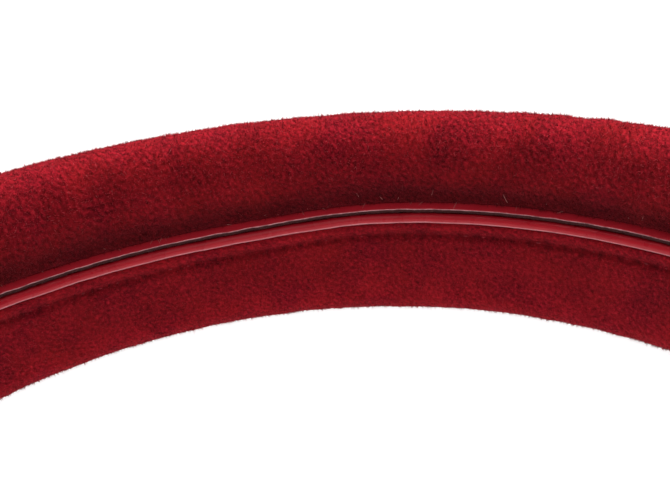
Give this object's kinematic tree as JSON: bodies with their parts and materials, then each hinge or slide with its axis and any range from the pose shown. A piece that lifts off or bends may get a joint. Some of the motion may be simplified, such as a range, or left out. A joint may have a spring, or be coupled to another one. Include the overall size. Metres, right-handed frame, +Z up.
{
  "type": "headband",
  "caption": "Padded suede headband with a leather lip and piping along a stitched waist, closed at the back by an elastic hook-and-loop strap through a square ring.",
  "frame": {"origin": "under the middle of the whole headband, on the surface that it stands on", "axes": "+Z up along the head's axis, the brow side towards -Y, the closure towards +Y, the square ring on the +X side"},
  "size_m": [0.2024, 0.2016, 0.043],
  "materials": {
    "suede": "raised nap, soft and matt, brushed unevenly",
    "smooth_leather": "smooth pigmented leather with a soft gloss, cut edges left raw",
    "thread": "twisted polyester thread",
    "foam": "open-cell foam, hidden inside",
    "webbing": "flat woven webbing",
    "elastic": "ribbed woven elastic",
    "cord": "spun filler cord, hidden inside",
    "loop": "brushed loop pile",
    "hook": "moulded hook tape",
    "steel": "bright plated wire"
  },
  "bodies": {
    "band": {"upper_suede_cover": "suede", "lower_suede_cover": "suede", "upper_foam_core": "foam", "lower_foam_core": "foam", "stiffener_webbing": "webbing", "inner_lip_strip": "smooth_leather", "inner_piping_cover": "smooth_leather", "inner_piping_cord": "cord", "inner_stitch_thread": "thread", "outer_lip_strip": "smooth_leather", "outer_piping_cover": "smooth_leather", "outer_piping_cord": "cord", "outer_stitch_thread": "thread", "strap_end_cap": "smooth_leather", "strap_cap_thread": "thread", "ring_end_cap": "smooth_leather", "ring_cap_thread": "thread", "adjuster_strap": "elastic", "strap_bar_tack": "thread", "loop_patch": "loop", "chape": "webbing", "chape_bar_tack": "thread", "square_ring": "steel"},
    "tail": {"strap_tail": "elastic", "hook_patch": "hook", "strap_tip": "smooth_leather"}
  },
  "joints": [
    {"name": "tail_peel", "type": "hinge", "parent": "band", "child": "tail", "pos_m": [0.01885, 0.09907, 0.0215], "axis": [0, 0, -1], "range_deg": [0, 150]}
  ]
}
